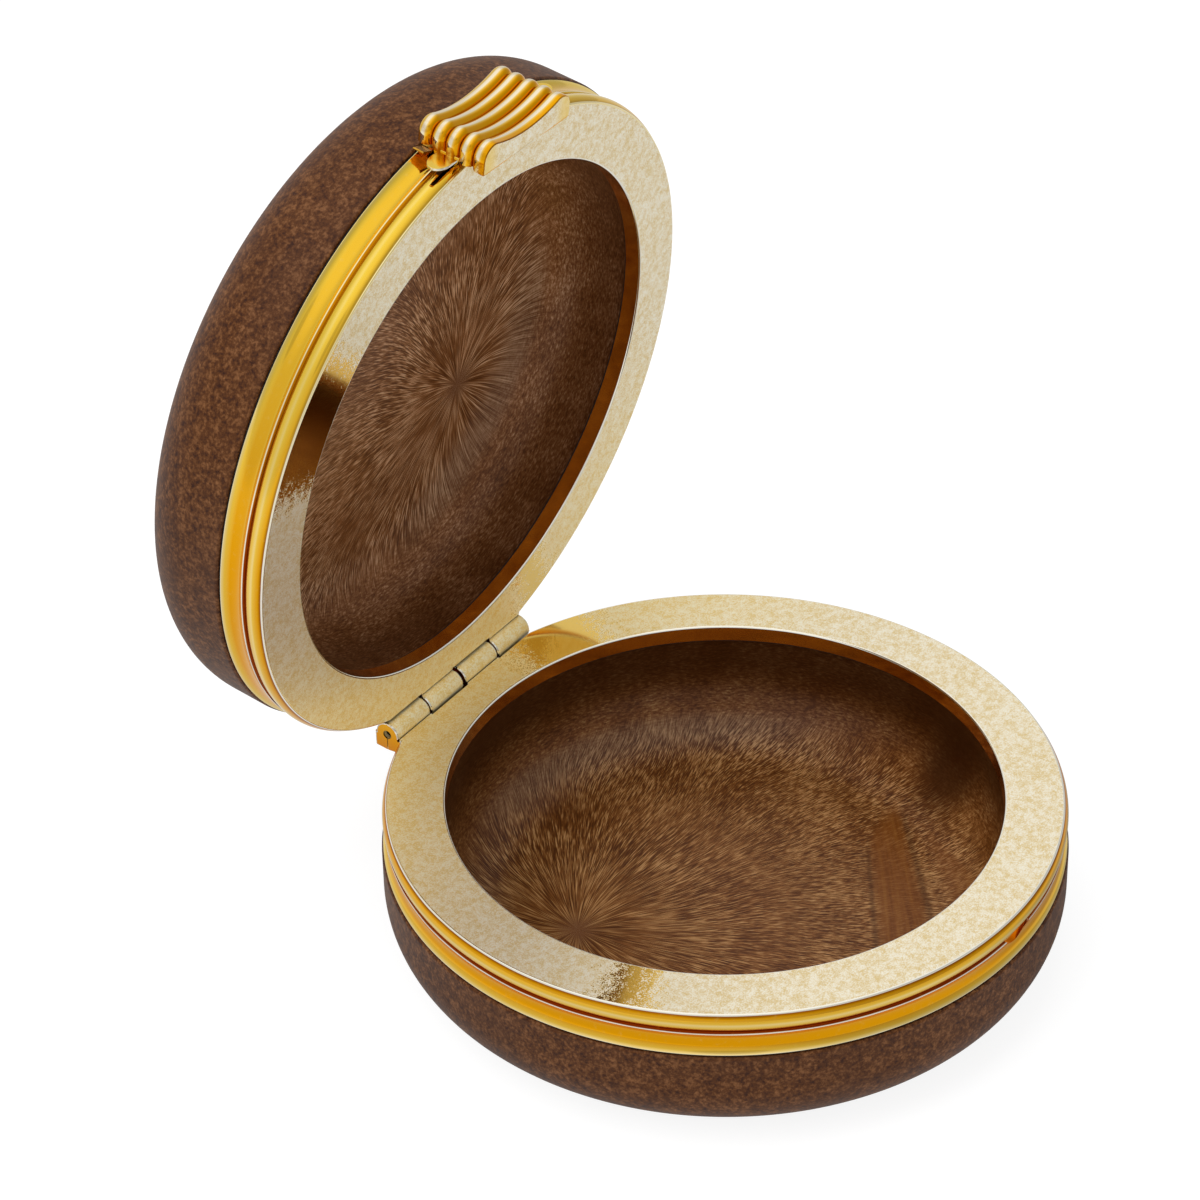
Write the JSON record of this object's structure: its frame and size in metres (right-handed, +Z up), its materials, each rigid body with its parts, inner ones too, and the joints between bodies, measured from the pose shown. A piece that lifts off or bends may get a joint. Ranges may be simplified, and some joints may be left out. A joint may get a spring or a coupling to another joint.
{
  "type": "rosary case",
  "caption": "Round palm-sized case of brown cast resin with gold-plated brass rims, a knuckle hinge and a fluted thumb clasp, standing open to hold a rosary or small keepsakes.",
  "frame": {"origin": "centre of the flat bottom that the open case stands on", "axes": "+Z up, -Y the front with the catch pocket, +Y the hinge, +X along the hinge pin"},
  "size_m": [0.0864, 0.1053, 0.1098],
  "materials": {
    "resin": "dark brown cast resin, satin outside, polished inside with fine streaks",
    "rim_gold": "gold-plated, flat faces finely blasted, sides polished",
    "bond": "black adhesive line",
    "hinge_gold": "gold-plated, polished",
    "pin_steel": "plain drawn wire",
    "clasp_gold": "gold-plated, polished",
    "spring_gold": "gold-plated spring leaf"
  },
  "bodies": {
    "base": {"base_shell": "resin", "base_rim": "rim_gold", "base_bond": "bond", "hinge_knuckle_1": "hinge_gold", "hinge_knuckle_3": "hinge_gold", "hinge_pin": "pin_steel"},
    "lid": {"lid_shell": "resin", "lid_rim": "rim_gold", "lid_bond": "bond", "hinge_knuckle_2": "hinge_gold", "hinge_knuckle_4": "hinge_gold", "clasp_spring": "spring_gold"},
    "clasp": {"clasp_thumb_piece": "clasp_gold", "clasp_rocker": "clasp_gold", "latch_hook": "clasp_gold"}
  },
  "joints": [
    {"name": "lid_hinge", "type": "hinge", "parent": "base", "child": "lid", "pos_m": [0, 0.04215, 0.02127], "axis": [1, 0, 0], "range_deg": [0, 82.6]},
    {"name": "clasp_pivot", "type": "hinge", "parent": "lid", "child": "clasp", "pos_m": [0, 0.03328, 0.10649], "axis": [-1, 0, 0], "range_deg": [0, 7.5], "stiffness_Nm_per_rad": 0.06, "springref_deg": -5.73}
  ]
}
